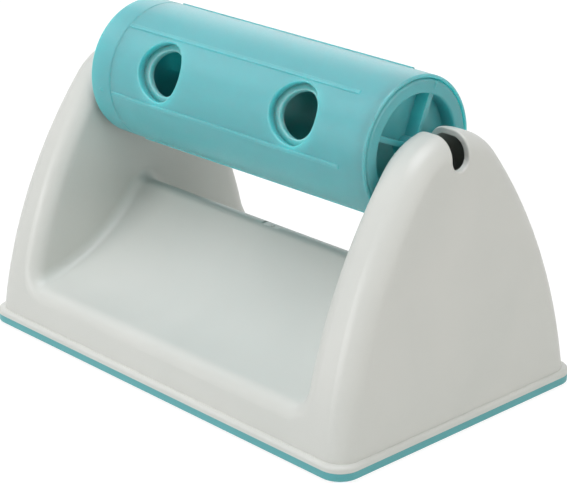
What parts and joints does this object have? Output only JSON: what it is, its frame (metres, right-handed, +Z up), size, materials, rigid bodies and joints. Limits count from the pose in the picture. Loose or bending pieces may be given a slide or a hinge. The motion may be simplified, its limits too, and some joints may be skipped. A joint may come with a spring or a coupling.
{
  "type": "treat roller",
  "caption": "Pet treat roller: a perforated drum spins on axle stubs between two arched end walls, over slopes that lead treats out to the front and back.",
  "frame": {"origin": "middle of the footprint, on the floor under the rubber feet", "axes": "+X along the drum's axis towards the end with the cap, +Z up"},
  "size_m": [0.19, 0.1194, 0.1207],
  "materials": {
    "grey_polypropylene": "satin moulded",
    "turquoise_plate": "satin moulded",
    "turquoise_drum": "satin moulded",
    "foot_rubber": "matte",
    "screw_steel": "zinc plated"
  },
  "bodies": {
    "stand": {"stand_shell": "grey_polypropylene", "base_plate": "turquoise_plate", "rubber_foot_1": "foot_rubber", "rubber_foot_2": "foot_rubber", "rubber_foot_3": "foot_rubber", "rubber_foot_4": "foot_rubber", "base_screw_1": "screw_steel", "base_screw_2": "screw_steel", "base_screw_3": "screw_steel", "base_screw_4": "screw_steel", "base_screw_5": "screw_steel", "base_screw_6": "screw_steel"},
    "drum": {"drum_tube": "turquoise_drum"},
    "sleeve": {"drum_sleeve": "turquoise_drum", "sleeve_collar": "turquoise_drum"},
    "cap": {"end_cap": "turquoise_drum"}
  },
  "joints": [
    {"name": "drum_spin", "type": "hinge", "parent": "stand", "child": "drum", "pos_m": [0, 0, 0.0948], "axis": [1, 0, 0], "continuous": true},
    {"name": "sleeve_turn", "type": "hinge", "parent": "drum", "child": "sleeve", "pos_m": [-0.065, 0, 0.0948], "axis": [1, 0, 0], "range_deg": [0, 60]},
    {"name": "cap_twist", "type": "hinge", "parent": "drum", "child": "cap", "pos_m": [0.068, 0, 0.0948], "axis": [1, 0, 0], "range_deg": [0, 30]}
  ]
}
